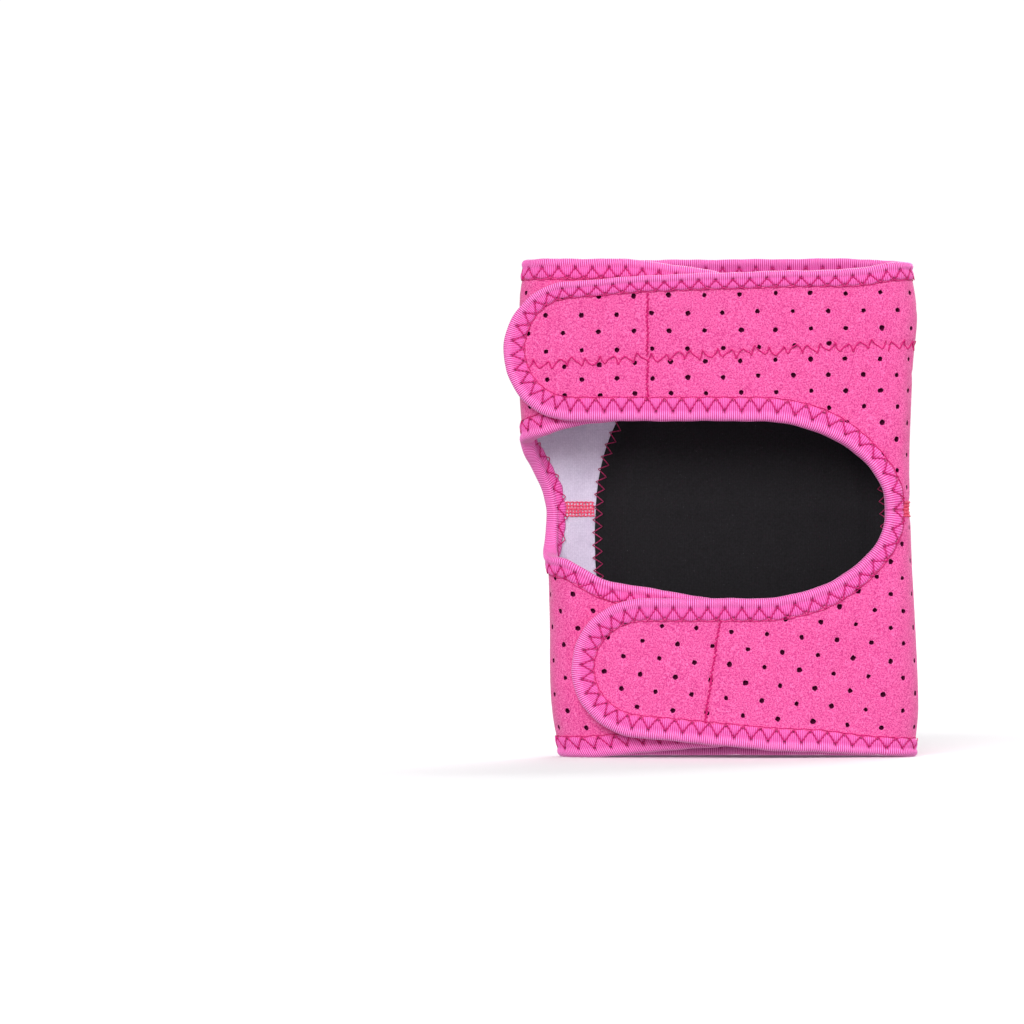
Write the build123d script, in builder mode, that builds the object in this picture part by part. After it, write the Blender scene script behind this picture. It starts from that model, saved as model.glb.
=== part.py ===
"""Padded wrap-around limb brace: a perforated foam-laminate sleeve with a knee pad in its
front wall, an open back, and two hook-and-loop straps that close over the back.

Row frame, millimetres. +Z runs up along the limb, the pad faces +Y, and the straps close
over the -Y side with their free ends towards -X. The brace stands on its bottom rim, and
the origin is the centre of its bounding box at that rim.
"""

import os
from math import asin, atan2, cos, sin

from build123d import *

# ---------------------------------------------------------------- driving dimensions
HEIGHT = 225.0
FAR = 120.0  # past every side of the brace, for outlines that run off it
RIGHT_X = 92.0  # the fold where the straps start, straight up and down
LEFT_X = {0.0: -66.7, 45.0: -70.1, 90.0: -74.0, 135.0: -82.2, 180.0: -85.0, 225.0: -83.6}  # by height
FOLD_R = 15.0  # outer radius of both folds
FRONT_DEPTH = {0.0: 21.0, 45.0: 24.2, 90.0: 25.6, 135.0: 25.6, 180.0: 24.6, 225.0: 22.0}
BACK_DEPTH = 19.0

FABRIC_T = 0.8  # brushed loop fabric on the outside
FOAM_T = 2.2  # rubber foam core of the laminate
LINING_T = 0.6  # knitted jersey on the inside
WALL_T = FABRIC_T + FOAM_T + LINING_T
BINDING_T = 0.8
BINDING_W = 8.0
THREAD_T = 0.4
HOOK_T = 1.0

BAND_Z = 186.0  # seam under the top band
KNEE_Z = 112.0  # seam across the knee
KNEE_SEAM_W = 7.8
BAND_SEAM_W = 3.4
SEAM_GAP = 0.1

HINGE_X = 66.0  # where each strap bends open
HINGE_GAP = 0.5
STRAP_APEX = (0.0, -25.3)  # the straps' outermost point, on their outer face
STRAP_FLAT_R = 540.0  # over the wings
STRAP_STEEP_R = 180.0  # from the wings' tips down to the hinge
STRAP_BEND_X = 18.0  # where one curve runs into the other
STRAP_SEAM_SLOPE = 3.3  # degrees by which the upper strap's seam drops towards its tip

OPENING = {"x": 20.0, "z": 111.7, "half_x": 60.0, "half_z": 39.8}
NOTCH = {"x": -86.0, "z": 111.0, "half_x": 13.0, "half_z": 28.0}
WING_TIP_X = 18.0
WING_TIP_R = 15.0

UPPER_TIP = {"x": -62.0, "low": 151.5, "high": 213.3, "end": -92.9}
HINGE_TOP_Z = 221.0  # the top edge at the hinge, from where it rises to the fold
LOWER_TIP = {"x": -30.0, "low": 9.0, "high": 71.9, "end": -62.3}
LOWER_EDGE = ((27.0, 2.6), (HINGE_X, 0.7), (FAR, 0.7))
UPPER_PATCH_EDGE = {"x": -28.0, "z": 182.0, "lean": 0.0}
LOWER_PATCH_EDGE = {"x": 1.2, "z": 39.0, "lean": 8.4}
PATCH_INSET = 9.0  # from the tab's bound edge to the hook patch

PAD = {"x": 15.5, "z": 98.5, "half_x": 67.5, "half_z": 86.0}
PAD_FACE_Y = 10.5  # the pad's inner face at its middle
PAD_FACE_R = 616.0  # and its curve, up and down
COVER_T = 0.9
COVER_FLANGE = 4.0
PAD_STITCH_W = 6.5

os.makedirs("parts", exist_ok=True)


# ---------------------------------------------------------------- walls, by depth
def oval(z, depth):
    """The sleeve's four-arc section at height z, at a depth below its outer face.

    Gives (start, middle, end) for the front, left fold, back and right fold arcs.
    """
    left = LEFT_X[z]
    reach = (RIGHT_X - left) / 2 - FOLD_R
    centre = (RIGHT_X + left) / 2

    def wide_arc(bulge, side):
        radius = (reach**2 + bulge**2 - FOLD_R**2) / (2 * (bulge - FOLD_R))
        lean = atan2(reach, radius - bulge)
        out = radius - depth
        y = side * (out * cos(lean) - radius + bulge)
        left_end = (centre - out * sin(lean), y)
        right_end = (centre + out * sin(lean), y)
        return left_end, (centre, side * (bulge - depth)), right_end

    front = wide_arc(FRONT_DEPTH[z], 1)
    back = wide_arc(BACK_DEPTH, -1)
    left_fold = (front[0], (left + depth, 0), back[0])
    right_fold = (back[2], (RIGHT_X - depth, 0), front[2])
    return front, left_fold, back, right_fold


def sleeve_solid(depth):
    """Everything inside the sleeve's wall surface at this depth."""
    with BuildPart() as filled:
        for z in LEFT_X:
            with BuildSketch(Plane.XY.offset(z)):
                with BuildLine():
                    for arc in oval(z, depth):
                        ThreePointArc(*arc)
                make_face()
        loft()
    return filled.part


def strap_curve(depth):
    """The straps' section seen from above, as two arcs that run into each other."""
    bend = asin((STRAP_BEND_X - STRAP_APEX[0]) / STRAP_FLAT_R)
    flat_centre = (STRAP_APEX[0], STRAP_APEX[1] + STRAP_FLAT_R)
    shift = STRAP_FLAT_R - STRAP_STEEP_R
    steep_centre = (flat_centre[0] + shift * sin(bend), flat_centre[1] - shift * cos(bend))

    def arc(centre, radius, angles):
        out = radius - depth
        return [(centre[0] + out * sin(a), centre[1] - out * cos(a)) for a in angles]

    flat = arc(flat_centre, STRAP_FLAT_R, (-0.25, (bend - 0.25) / 2, bend))
    return flat, arc(steep_centre, STRAP_STEEP_R, (bend, bend + 0.15, bend + 0.4))


def strap_layer(outer, inner):
    """The straps' curved sheet between two depths. It passes over the wings."""
    outside = strap_curve(outer)
    inside = strap_curve(inner)
    with BuildPart() as layer:
        with BuildSketch(Plane.XY):
            with BuildLine():
                for arc in outside + inside:
                    ThreePointArc(*arc)
                Line(outside[0][0], inside[0][0])
                Line(outside[1][-1], inside[1][-1])
            make_face()
        extrude(amount=HEIGHT)
    return layer.part


# ---------------------------------------------------------------- outlines, seen from the back
# Each takes inset, a distance inside the finished edge: 0 for the edge itself.
def through(sketch, side):
    """A tool that cuts a back-view outline through the +Y or -Y half of the brace."""
    return extrude(sketch, amount=60, dir=(0, side, 0))


def rectangle(low_x, low_z, high_x, high_z):
    with BuildSketch(Plane.XZ) as outline:
        with Locations(((low_x + high_x) / 2, (low_z + high_z) / 2)):
            Rectangle(high_x - low_x, high_z - low_z)
    return outline.sketch


def ellipse(shape, grow=0.0):
    with BuildSketch(Plane.XZ) as outline:
        with Locations((shape["x"], shape["z"])):
            Ellipse(shape["half_x"] + grow, shape["half_z"] + grow)
    return outline.sketch


def opening(inset=0.0):
    """The opening between the straps: straight sides and a half ellipse by the fold."""
    half_z = OPENING["half_z"] + inset
    slot = rectangle(-FAR, OPENING["z"] - half_z, OPENING["x"], OPENING["z"] + half_z)
    return slot + ellipse(OPENING, inset)


def wing(bottom, top, inset):
    """A wing's outline from past the fold to its rounded tip, between two edges of points."""
    tip = WING_TIP_X - inset
    with BuildSketch(Plane.XZ) as outline:
        with BuildLine():
            Polyline(
                *[(x, z + inset) for x, z in bottom[:-1]],
                (tip, bottom[-1][1] + inset),
                (tip, top[-1][1] - inset),
                *[(x, z - inset) for x, z in reversed(top[:-1])],
                close=True,
            )
        make_face()
        fillet(outline.vertices().group_by(Axis.X)[-1], WING_TIP_R - inset)
    return outline.sketch


def upper_wing(inset=0.0):
    bottom = ((-FAR, 139), (-80, 143), (-60, 149.5), (WING_TIP_X, 158.5))
    return wing(bottom, ((-FAR, HEIGHT), (-40, HEIGHT), (WING_TIP_X, 219)), inset)


def lower_wing(inset=0.0):
    bottom = ((-FAR, 0), (-55, 0), (WING_TIP_X, 5))
    return wing(bottom, ((-FAR, 94), (-68, 90), (-54, 82), (WING_TIP_X, 70)), inset)


def front_wall(inset=0.0):
    """The front half, fold to fold, with the notch at the left fold."""
    return rectangle(-FAR, inset, FAR, HEIGHT - inset) - ellipse(NOTCH, inset)


def column_top():
    """The back's top edge, from the hinge up to the fold and past it."""
    return (HINGE_X + HINGE_GAP / 2, HINGE_TOP_Z), (RIGHT_X, HEIGHT), (FAR, HEIGHT)


def strip(edge, height):
    """Everything from an edge of points down to the same edge moved by a height."""
    with BuildSketch(Plane.XZ) as outline:
        with BuildLine():
            Polyline(*edge, *[(x, z - height) for x, z in reversed(edge)], close=True)
        make_face()
    return outline.sketch


def back_column(inset=0.0):
    """The back beside the fold that the straps start from."""
    top = [(x, z - inset) for x, z in column_top()]
    return strip(top, 2 * HEIGHT) - rectangle(0, -2 * HEIGHT, FAR, inset) - opening(inset)


def tip_outline(tip, edge, inset):
    """A strap's outline: its round tip, its free edge, and the middle of the opening."""
    turn = 1 if edge[-1][1] > KNEE_Z else -1
    free, inner = (tip["high"], tip["low"]) if turn > 0 else (tip["low"], tip["high"])
    with BuildSketch(Plane.XZ) as outline:
        with BuildLine():
            Polyline((tip["x"], free - turn * inset), *[(x, z - turn * inset) for x, z in edge])
            middle = (tip["end"] + inset, (tip["low"] + tip["high"]) / 2)
            ThreePointArc((tip["x"], free - turn * inset), middle, (tip["x"], inner + turn * inset))
            Polyline(
                (tip["x"], inner + turn * inset),
                (tip["x"], KNEE_Z),
                (FAR, KNEE_Z),
                (FAR, edge[-1][1] - turn * inset),
            )
        make_face()
    return outline.sketch - opening(inset)


def upper_strap(inset=0.0):
    rise = (HINGE_TOP_Z - UPPER_TIP["high"]) / (HINGE_X - UPPER_TIP["x"])
    edge = ((FAR, HINGE_TOP_Z + rise * (FAR - HINGE_X)),)
    return tip_outline(UPPER_TIP, edge, inset)


def lower_strap(inset=0.0):
    return tip_outline(LOWER_TIP, LOWER_EDGE, inset)


def half_space(x, z, lean, side, gap):
    """A tool on the -X or +X side of an edge that leans from the vertical, at half a gap."""
    with BuildSketch(Plane.XZ) as outline:
        with Locations(Location((x, z), -lean)):
            with Locations((side * (FAR + gap / 2), 0)):
                Rectangle(2 * FAR, 4 * FAR)
    return through(outline.sketch, -1)


# ---------------------------------------------------------------- shared solids and tools
FULL_DEPTHS = (-BINDING_T, WALL_T + BINDING_T)
LAYERS = {
    "fabric": (0.0, FABRIC_T),
    "foam": (FABRIC_T, FABRIC_T + FOAM_T),
    "lining": (FABRIC_T + FOAM_T, WALL_T),
}
DEPTHS = {-BINDING_T, -THREAD_T, WALL_T + THREAD_T, WALL_T + BINDING_T, WALL_T + COVER_T}
DEPTHS |= {depth for pair in LAYERS.values() for depth in pair}
SLEEVE = {depth: sleeve_solid(depth) for depth in sorted(DEPTHS)}


def sleeve_layer(outer, inner):
    return SLEEVE[outer] - SLEEVE[inner]


def sleeve_tool(inset):
    """The sleeve's whole outline as one cutting tool, front half and back half."""
    back = back_column(inset) + upper_wing(inset) + lower_wing(inset)
    return through(front_wall(inset), 1) + through(back, -1)


def z_slab(low, high):
    """Everything between two heights."""
    with BuildPart() as slab:
        with BuildSketch(Plane.XY.offset(low)):
            Rectangle(3 * FAR, FAR)
        extrude(amount=high - low)
    return slab.part


def write(shape, name):
    """Labels a piece and writes it as a node of its own."""
    shape.label = name
    export_step(shape, f"parts/{name}.step")


# ---------------------------------------------------------------- sleeve: three cut panels
PANEL_TOOL = sleeve_tool(BINDING_T)
PANELS = {
    "top_band": z_slab(BAND_Z + SEAM_GAP / 2, HEIGHT),
    "upper_panel": z_slab(KNEE_Z + SEAM_GAP / 2, BAND_Z - SEAM_GAP / 2),
    "lower_panel": z_slab(0, KNEE_Z - SEAM_GAP / 2),
}
for layer_name, depths in LAYERS.items():
    sheet = sleeve_layer(*depths) & PANEL_TOOL
    for panel_name, slab in PANELS.items():
        write(sheet & slab, f"{panel_name}_{layer_name}")

# ---------------------------------------------------------------- sleeve: bound edges
WALL = sleeve_layer(*FULL_DEPTHS)
PANEL_STACK = sleeve_layer(0.0, WALL_T) & PANEL_TOOL


def binding(outline, side):
    """Folded tape along an outline's bound edges, around the panel's three layers."""
    band = outline(0.0) - outline(BINDING_W)
    return (WALL & through(band, side)) - PANEL_STACK


def rim_binding(front_edge, back_edge):
    """The same along a rim, round the front and on to the back beside the hinge."""
    tool = through(strip(front_edge, BINDING_W), 1) + through(strip(back_edge, BINDING_W), -1)
    return (WALL & tool) - PANEL_STACK


def opening_end(inset):
    """Right of the hinge line, everything outside the opening, for its bound end."""
    middle = rectangle(HINGE_X + HINGE_GAP / 2, BINDING_W, FAR, HEIGHT - BINDING_W)
    return middle - opening(inset)


def notch_end(inset):
    middle = rectangle(-FAR, BINDING_W, FAR, HEIGHT - BINDING_W)
    return middle - ellipse(NOTCH, inset)


low_edge = ((-FAR, BINDING_W), (FAR, BINDING_W))
low_back_edge = ((HINGE_X + HINGE_GAP / 2, BINDING_W), (FAR, BINDING_W))
write(rim_binding(((-FAR, HEIGHT), (FAR, HEIGHT)), column_top()), "top_binding")
write(rim_binding(low_edge, low_back_edge), "bottom_binding")
write(binding(upper_wing, -1), "upper_wing_binding")
write(binding(lower_wing, -1), "lower_wing_binding")
write(binding(opening_end, -1), "opening_binding")
write(binding(notch_end, 1), "notch_binding")

# ---------------------------------------------------------------- sleeve: knee pad and cover
def pad_prism(grow, face_grow):
    """The pad's outline through the front, ended by its curved inner face."""
    with BuildPart() as inner:
        with BuildSketch(Plane.YZ.offset(-FAR)):
            with Locations((PAD_FACE_Y + PAD_FACE_R, PAD["z"])):
                Circle(PAD_FACE_R + face_grow)
        extrude(amount=2 * FAR)
    return through(ellipse(PAD, grow), 1) & inner.part


pad_foam = SLEEVE[WALL_T] & pad_prism(0, 0)
write(pad_foam, "knee_pad_foam")
cap = (SLEEVE[WALL_T] & pad_prism(COVER_T, COVER_T)) - pad_foam
flange_tool = through(ellipse(PAD, COVER_FLANGE) - ellipse(PAD, COVER_T), 1)
flange = sleeve_layer(WALL_T, WALL_T + COVER_T) & flange_tool
write(cap + flange, "pad_cover")

# ---------------------------------------------------------------- sleeve: seam threads
thread = sleeve_layer(-THREAD_T, 0.0)
ring = through(ellipse(PAD, PAD_STITCH_W / 2) - ellipse(PAD, -PAD_STITCH_W / 2), 1)
unbound = through(notch_end(BINDING_W), 1) + through(opening_end(BINDING_W), -1)
wing_seam = through(rectangle(-FAR, BAND_Z - 20, WING_TIP_X - BINDING_W, BAND_Z + 20), -1)
knee_seam = unbound & z_slab(KNEE_Z - KNEE_SEAM_W / 2, KNEE_Z + KNEE_SEAM_W / 2)
band_seam = (unbound + wing_seam) & z_slab(BAND_Z - BAND_SEAM_W / 2, BAND_Z + BAND_SEAM_W / 2)
write(thread & (knee_seam + band_seam + ring), "seam_threads")
by_cover = rectangle(-FAR, 0, PAD["x"] - PAD["half_x"] - COVER_FLANGE - 1, HEIGHT)
inner_thread = sleeve_layer(WALL_T, WALL_T + THREAD_T) & through(by_cover, 1)
write(inner_thread & knee_seam, "inner_knee_seam_threads")

# ---------------------------------------------------------------- straps and their tabs
HINGE_SIDE = half_space(HINGE_X, KNEE_Z, 0, -1, HINGE_GAP)


def strap_seam(side, gap):
    """Above (1) or below (-1) the upper strap's seam, which drops towards the tip."""
    with BuildSketch(Plane.XZ) as outline:
        with Locations(Location((HINGE_X, BAND_Z - 1), STRAP_SEAM_SLOPE)):
            with Locations((0, side * (FAR / 2 + gap / 2))):
                Rectangle(4 * FAR, FAR)
    return through(outline.sketch, -1)


def write_strap(name, outline, patch_edge, zones):
    """A strap from its hinge to the patch seam, and the tab beyond it with its hook patch."""
    x, z, lean = patch_edge["x"], patch_edge["z"], patch_edge["lean"]
    ends = {
        "strap": HINGE_SIDE & half_space(x, z, lean, 1, HINGE_GAP),
        "tab": half_space(x, z, lean, -1, HINGE_GAP),
    }
    panel_tool = through(outline(BINDING_T), -1)
    band_tool = through(outline(0.0) - outline(BINDING_W), -1)
    stack = strap_layer(0.0, WALL_T) & panel_tool
    edges = (strap_layer(*FULL_DEPTHS) & band_tool) - stack
    for end_name, end in ends.items():
        for zone_name, zone in zones.items():
            for layer_name, depths in LAYERS.items():
                sheet = strap_layer(*depths) & panel_tool & end
                sheet = sheet if zone is None else sheet & zone
                write(sheet, f"{name}_{end_name}_{zone_name}{layer_name}")
        write(edges & end, f"{name}_{end_name}_binding")
    patch_tool = through(outline(PATCH_INSET), -1) & half_space(x, z, lean, -1, 2)
    write(strap_layer(WALL_T, WALL_T + HOOK_T) & patch_tool, f"{name}_hook_patch")
    return ends, panel_tool


upper_zones = {"band_": strap_seam(1, SEAM_GAP), "": strap_seam(-1, SEAM_GAP)}
ends, tool = write_strap("upper", upper_strap, UPPER_PATCH_EDGE, upper_zones)
seam_strip = strap_seam(1, -BAND_SEAM_W) & strap_seam(-1, -BAND_SEAM_W)
strap_thread = strap_layer(-THREAD_T, 0.0) & through(upper_strap(BINDING_W), -1) & seam_strip
for end_name, end in ends.items():
    write(strap_thread & end, f"upper_{end_name}_seam_thread")
write_strap("lower", lower_strap, LOWER_PATCH_EDGE, {"": None})
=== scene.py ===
"""Visual model of a perforated wrap-around limb brace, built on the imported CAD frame.

Lengths are millimetres until a mesh is made. A surface maps flat pattern points to space.
The sleeve's pattern is (distance round the wall, height), counted from the straps' fold
towards the padded front, and the straps' is (x, height). Depth is measured inwards from
the outer face. Seen from outside, a panel's edge runs anticlockwise round it.
"""

from math import cos, pi, radians, sin, tan
import bpy
import numpy as np
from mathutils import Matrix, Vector
from mathutils.geometry import delaunay_2d_cdt


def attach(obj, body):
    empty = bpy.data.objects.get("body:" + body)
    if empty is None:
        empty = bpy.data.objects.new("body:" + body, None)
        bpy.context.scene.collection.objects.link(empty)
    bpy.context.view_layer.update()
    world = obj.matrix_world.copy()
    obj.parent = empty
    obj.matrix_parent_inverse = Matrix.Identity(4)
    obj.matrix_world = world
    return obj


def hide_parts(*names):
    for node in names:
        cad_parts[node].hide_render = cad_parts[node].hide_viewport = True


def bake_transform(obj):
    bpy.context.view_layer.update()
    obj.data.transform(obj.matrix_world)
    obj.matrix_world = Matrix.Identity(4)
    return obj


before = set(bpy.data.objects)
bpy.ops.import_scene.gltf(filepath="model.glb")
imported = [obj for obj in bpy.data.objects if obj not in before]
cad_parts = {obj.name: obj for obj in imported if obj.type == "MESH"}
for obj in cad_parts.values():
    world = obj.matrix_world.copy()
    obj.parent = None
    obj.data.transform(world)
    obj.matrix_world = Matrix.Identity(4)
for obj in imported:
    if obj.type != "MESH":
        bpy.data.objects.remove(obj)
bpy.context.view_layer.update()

MM = 0.001
HEIGHT = 225.0
KNEE_Z = 112.0
BAND_Z = 186.0
SPLIT_X = 80.0  # where the straps' pieces start from the sleeve's, inside its rigid back
WALL_T = 3.6  # fabric, foam and lining
HOLE_DEPTH = 2.4  # of a perforation, through fabric and into foam
TAPE_W = 8.0
STITCH_PITCH = 7.7

PAD_X, PAD_Z = 15.5, 98.5
PAD_HALF_X, PAD_HALF_Z = 67.5, 86.0
PAD_POWER = 2.35  # of the superellipse it is cut to

OPEN_X, OPEN_Z = 20.0, 111.7  # middle of the oval that rounds the back opening's end
OPEN_HALF_X, OPEN_HALF_Z = 60.0, 39.8
SEAM_LEAN = radians(3.3)  # of the upper strap's zigzag seam, which drops towards the tip


# ---- surfaces
def paired(x, z):
    """An array of points from their two coordinates."""
    return np.column_stack([x, z])


def smooth_step(x, low, high):
    t = np.clip((x - low) / (high - low), 0, 1)
    return t * t * (3 - 2 * t)


def groove(distance, width):
    """1 on a line and fading to 0 a few widths away."""
    return np.exp(-((distance / width) ** 2))


def curve_through(knots, values, heights):
    """Values by height on the polynomial through a few of them."""
    return sum(
        value * np.prod([(heights - k) / (knot - k) for k in knots if k != knot], axis=0)
        for knot, value in zip(knots, values)
    )


KNOTS = (0.0, 45.0, 90.0, 135.0, 180.0, 225.0)
SECTION_Z = np.linspace(0, HEIGHT, 226)
SECTION_LEFT = curve_through(KNOTS, (-66.7, -70.1, -74.0, -82.2, -85.0, -83.6), SECTION_Z)
SECTION_FRONT = curve_through(KNOTS, (21.0, 24.2, 25.6, 25.6, 24.6, 22.0), SECTION_Z)


class Section:
    """The sleeve's four-arc oval at given heights: where its arcs are and how long."""

    RIGHT_X = 92.0
    FOLD_R = 15.0
    BACK_DEPTH = 19.0

    def __init__(self, z):
        left = np.interp(z, SECTION_Z, SECTION_LEFT)
        front_depth = np.interp(z, SECTION_Z, SECTION_FRONT)
        self.centre = (self.RIGHT_X + left) / 2
        self.reach = (self.RIGHT_X - left) / 2 - self.FOLD_R
        self.front, self.front_lean = self.arc(front_depth)
        self.back, self.back_lean = self.arc(self.BACK_DEPTH)
        self.front_low = self.front - front_depth
        self.back_low = self.back - self.BACK_DEPTH
        self.fold_end = (pi / 2 - self.front_lean) * self.FOLD_R
        self.front_end = self.fold_end + 2 * self.front_lean * self.front
        self.left_end = self.front_end + (pi - self.front_lean - self.back_lean) * self.FOLD_R
        self.column_start = -(pi / 2 - self.back_lean) * self.FOLD_R

    def arc(self, bulge):
        radius = (self.reach**2 + bulge**2 - self.FOLD_R**2) / (2 * (bulge - self.FOLD_R))
        return radius, np.arctan2(self.reach, radius - bulge)


def sleeve_base(points, depth):
    """Space points of the sleeve's wall, with no relief."""
    s, z = points[:, 0], points[:, 1]
    c = Section(z)
    r = c.FOLD_R
    parts = [s < c.column_start, s < c.fold_end, s < c.front_end, s < c.left_end]
    back_right = c.back_lean - (c.column_start - s) / c.back
    back_left = -c.back_lean + (s - c.left_end) / c.back
    front = c.front_lean - (s - c.fold_end) / c.front
    left = -c.front_lean - (s - c.front_end) / r
    angle = np.select(parts, [pi - back_right, pi / 2 - s / r, front, left], pi - back_left)
    radius = np.select(parts, [c.back, r, c.front, r], c.back)
    x = np.select(parts, [0, c.reach, 0, -c.reach], 0) + c.centre
    y = np.select(parts, [c.back_low, 0, -c.front_low, 0], c.back_low)
    out = radius - depth
    return np.column_stack([x + out * np.sin(angle), y + out * np.cos(angle), z])


def round_wall(x, z, side):
    """The sleeve pattern's distance for points at x on its front, back or right back."""
    x, z = np.broadcast_arrays(x, z)
    c = Section(z)
    r = c.FOLD_R
    if side == "right back":
        lean = np.arcsin((x - c.centre) / c.back)
        return c.column_start - (c.back_lean - lean) * c.back
    from_fold = np.arcsin(np.clip((x - c.centre + c.reach) / r, -1, 0))
    if side == "front":
        lean = np.arcsin(np.clip((x - c.centre) / c.front, -1, 1))
        flat = c.fold_end + (c.front_lean - lean) * c.front
        bent = c.front_end + (-c.front_lean - from_fold) * r
        return np.where(lean > -c.front_lean, flat, bent)
    lean = np.arcsin(np.clip((x - c.centre) / c.back, -1, 1))
    flat = c.left_end + (lean + c.back_lean) * c.back
    bent = c.front_end + (-c.front_lean + pi + from_fold) * r
    return np.where(lean > -c.back_lean, flat, bent)


def pad_ratio(x, z):
    """0 at the pad's middle and 1 on its outline."""
    across = np.abs((x - PAD_X) / PAD_HALF_X)
    up = np.abs((z - PAD_Z) / PAD_HALF_Z)
    return (across**PAD_POWER + up**PAD_POWER) ** (1 / PAD_POWER)


def ripple(a, b, size):
    """Slow uneven swell of a soft sheet."""
    long = np.sin(a / 17.0 + b / 31.0)
    short = 0.7 * np.sin(a / 9.5 - b / 14.0 + 1.3)
    return size * (long + short + 0.5 * np.sin(b / 8.0 + a / 40.0))


def sleeve_relief(points):
    """How far the sleeve's wall stands out: pad, seams and swell."""
    s, z = points[:, 0], points[:, 1]
    space = sleeve_base(points, 0.0)
    on_front = smooth_step(space[:, 1], 4, 12)
    ratio = pad_ratio(space[:, 0], z)
    dome = 1.7 * (1 - smooth_step(ratio, 0.72, 0.97)) - 0.9 * groove(ratio - 1.0, 0.04)
    seams = 0.55 * groove(z - BAND_Z, 1.3) + 0.9 * groove(z - KNEE_Z, 4.0)
    calm = smooth_step(z, 6, 24) * (1 - smooth_step(z, 196, 219))
    sideways = (space - sleeve_base(points, 1.0))[:, 0]
    right = 2.6 * groove(z - 25, 38) - 1.2 * groove(z - 125, 42) + 2.2 * groove(z - 199, 17)
    left = 1.3 * groove(z - 42, 24) - 1.9 * groove(z - 92, 18) + 1.8 * groove(z - 209, 13)
    folds = np.where(sideways > 0, right, left) * sideways**4
    gather = 1.2 * groove(HEIGHT - z, 8) + 0.6 * groove(z, 8) - 0.6 * calm
    swell = ripple(s, z, 0.16) * calm + folds
    return dome * on_front - seams * (1 - 0.5 * on_front) + swell - gather


def sleeve(points, depth):
    return sleeve_base(points, depth - sleeve_relief(points))


STRAP_APEX_Y = -25.3
STRAP_FLAT_R, STRAP_STEEP_R = 540.0, 180.0
STRAP_BEND_X = 18.0
MERGE_X = 56.0  # from here to SPLIT_X the strap takes on the sleeve's shape


def strap_line(x, z):
    """The y of the strap's outer face, over the wings and on to the fold."""
    flat_y = STRAP_APEX_Y + STRAP_FLAT_R
    lean = np.arcsin(STRAP_BEND_X / STRAP_FLAT_R)
    shift = STRAP_FLAT_R - STRAP_STEEP_R
    flat = flat_y - np.sqrt(STRAP_FLAT_R**2 - x**2)
    steep_x = np.clip(x, STRAP_BEND_X, None) - shift * sin(lean)
    steep = flat_y - shift * cos(lean) - np.sqrt(STRAP_STEEP_R**2 - steep_x**2)
    over_wings = np.where(x < STRAP_BEND_X, flat, steep)
    c = Section(z)
    column = c.back_low - np.sqrt(c.back**2 - (x - c.centre) ** 2)
    from_fold = x - c.centre - c.reach
    fold = -np.sqrt(np.clip(c.FOLD_R**2 - from_fold**2, 1, None))
    column = np.where(from_fold > c.FOLD_R * np.sin(c.back_lean), fold, column)
    share = smooth_step(x, MERGE_X, SPLIT_X)
    return over_wings * (1 - share) + column * share


def upper_seam_z(x):
    """Height of the upper strap's zigzag seam."""
    return BAND_Z + 0.2 - (SPLIT_X - x) * tan(SEAM_LEAN)


PATCHES = {  # a point on each hook patch's seam, and the seam's lean
    "upper": ((-28.0, 182.0), 0.0),
    "lower": ((1.2, 39.0), radians(8.4)),
}


def across_patch(points, level):
    """Distance from a hook patch's seam, towards the hinge."""
    (x, z), lean = PATCHES[level]
    return (points[:, 0] - x) * cos(lean) - (points[:, 1] - z) * sin(lean)


def strap_relief(points):
    x, z = points[:, 0], points[:, 1]
    upper = z > KNEE_Z
    patch = np.where(upper, across_patch(points, "upper"), across_patch(points, "lower"))
    seam = np.where(upper, 0.5 * groove(z - upper_seam_z(x), 1.3), 0)
    own = ripple(x + 40, z, 0.14) - seam - 0.9 * groove(patch, 1.1)
    column = sleeve_relief(paired(round_wall(x, z, "right back"), z))
    share = smooth_step(x, MERGE_X, SPLIT_X)
    return own * (1 - share) + column * share


def strap(points, depth):
    x, z = points[:, 0], points[:, 1]
    y = strap_line(x, z)
    slope = strap_line(x + 0.5, z) - strap_line(x - 0.5, z)
    size = np.sqrt(1 + slope**2)
    inward = depth - strap_relief(points)
    return np.column_stack([x - inward * slope / size, y + inward / size, z])


# ---- flat outlines
def lengths_along(line):
    """Each point's distance along a line."""
    return np.concatenate([[0], np.cumsum(np.hypot(*np.diff(line, axis=0).T))])


def spaced(line, step):
    """The same line with points at an even spacing."""
    line = np.asarray(line, float)
    along = lengths_along(line)
    count = max(2, int(round(along[-1] / step)) + 1)
    places = np.linspace(0, along[-1], count)
    return paired(*(np.interp(places, along, column) for column in line.T))


def spaced_round(outline, step):
    """A closed outline with evenly spaced points between its sharp corners."""
    before, after = outline - np.roll(outline, 1, axis=0), np.roll(outline, -1, axis=0) - outline
    turn = np.abs(before[:, 0] * after[:, 1] - before[:, 1] * after[:, 0])
    size = np.hypot(*before.T) * np.hypot(*after.T)
    sharp = np.flatnonzero(turn > 0.45 * size)
    outline = np.roll(outline, -sharp[0], axis=0)
    ends = [*(sharp - sharp[0]), len(outline)]
    ring = np.vstack([outline, outline[:1]])
    return np.vstack([spaced(ring[a : b + 1], step)[:-1] for a, b in zip(ends, ends[1:])])


EASING_ROUNDS = 8


def softened(line):
    """The same line with its corners eased, ends kept."""
    line = spaced(line, 1.0)
    for _ in range(EASING_ROUNDS):
        line[1:-1] = (line[:-2] + 2 * line[1:-1] + line[2:]) / 4
    return line


def clipped(outline, point, away):
    """The part of a closed outline on the side of a line that away points from."""
    kept = []
    side = (outline - point) @ away
    for i, here in enumerate(outline):
        after = (i + 1) % len(outline)
        if side[i] <= 0:
            kept.append(here)
        if side[i] * side[after] < 0:
            kept.append(here + (outline[after] - here) * side[i] / (side[i] - side[after]))
    return np.array(kept)


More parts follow.
